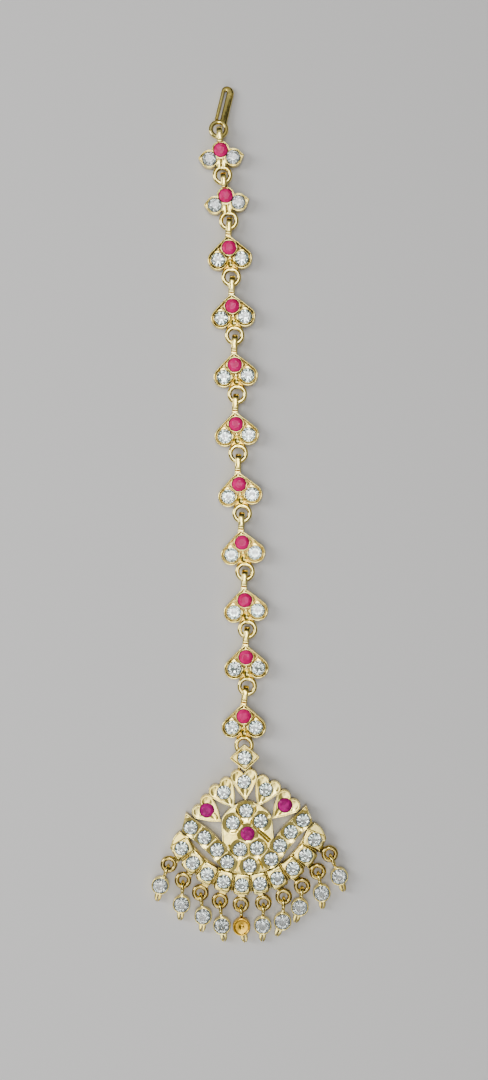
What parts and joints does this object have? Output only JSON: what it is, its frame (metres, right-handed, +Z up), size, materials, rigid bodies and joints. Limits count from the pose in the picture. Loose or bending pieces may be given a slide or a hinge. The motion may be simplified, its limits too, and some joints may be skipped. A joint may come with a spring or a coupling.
{
  "type": "maang tikka",
  "caption": "Hair ornament: a hook, a chain of stone-set flower and heart links, and a fan-shaped pendant fringed with round stone drops.",
  "frame": {"origin": "middle of the rectangle around the ornament as it lies, on the surface under it", "axes": "+Y along the chain from the pendant to the hook, +Z up out of the stones' tables, +X to the right as it is looked at from the front"},
  "size_m": [0.0356, 0.1552, 0.0037],
  "materials": {
    "gold": "polished",
    "ruby": "polished",
    "crystal": "polished"
  },
  "bodies": {
    "root": {"hook": "gold", "flower_link_1": "gold", "flower_ruby_1": "ruby", "flower_crystals_1": "crystal", "flower_link_2": "gold", "flower_ruby_2": "ruby", "flower_crystals_2": "crystal", "heart_link_1": "gold", "heart_ruby_1": "ruby", "heart_crystals_1": "crystal", "heart_link_2": "gold", "heart_ruby_2": "ruby", "heart_crystals_2": "crystal", "heart_link_3": "gold", "heart_ruby_3": "ruby", "heart_crystals_3": "crystal", "heart_link_4": "gold", "heart_ruby_4": "ruby", "heart_crystals_4": "crystal", "heart_link_5": "gold", "heart_ruby_5": "ruby", "heart_crystals_5": "crystal", "heart_link_6": "gold", "heart_ruby_6": "ruby", "heart_crystals_6": "crystal", "heart_link_7": "gold", "heart_ruby_7": "ruby", "heart_crystals_7": "crystal", "heart_link_8": "gold", "heart_ruby_8": "ruby", "heart_crystals_8": "crystal", "heart_link_9": "gold", "heart_ruby_9": "ruby", "heart_crystals_9": "crystal", "diamond_link": "gold", "diamond_crystal": "crystal", "pendant_frame": "gold", "pendant_centre_ruby": "ruby", "pendant_side_rubies": "ruby", "petal_crystals": "crystal", "lotus_crystals": "crystal", "wing_crystals": "crystal", "crescent_crystals": "crystal", "drop_1": "gold", "drop_2": "gold", "drop_3": "gold", "drop_4": "gold", "drop_5": "gold", "drop_6": "gold", "drop_7": "gold", "drop_8": "gold", "drop_9": "gold", "drop_10": "gold", "drop_crystals": "crystal"}
  },
  "joints": []
}
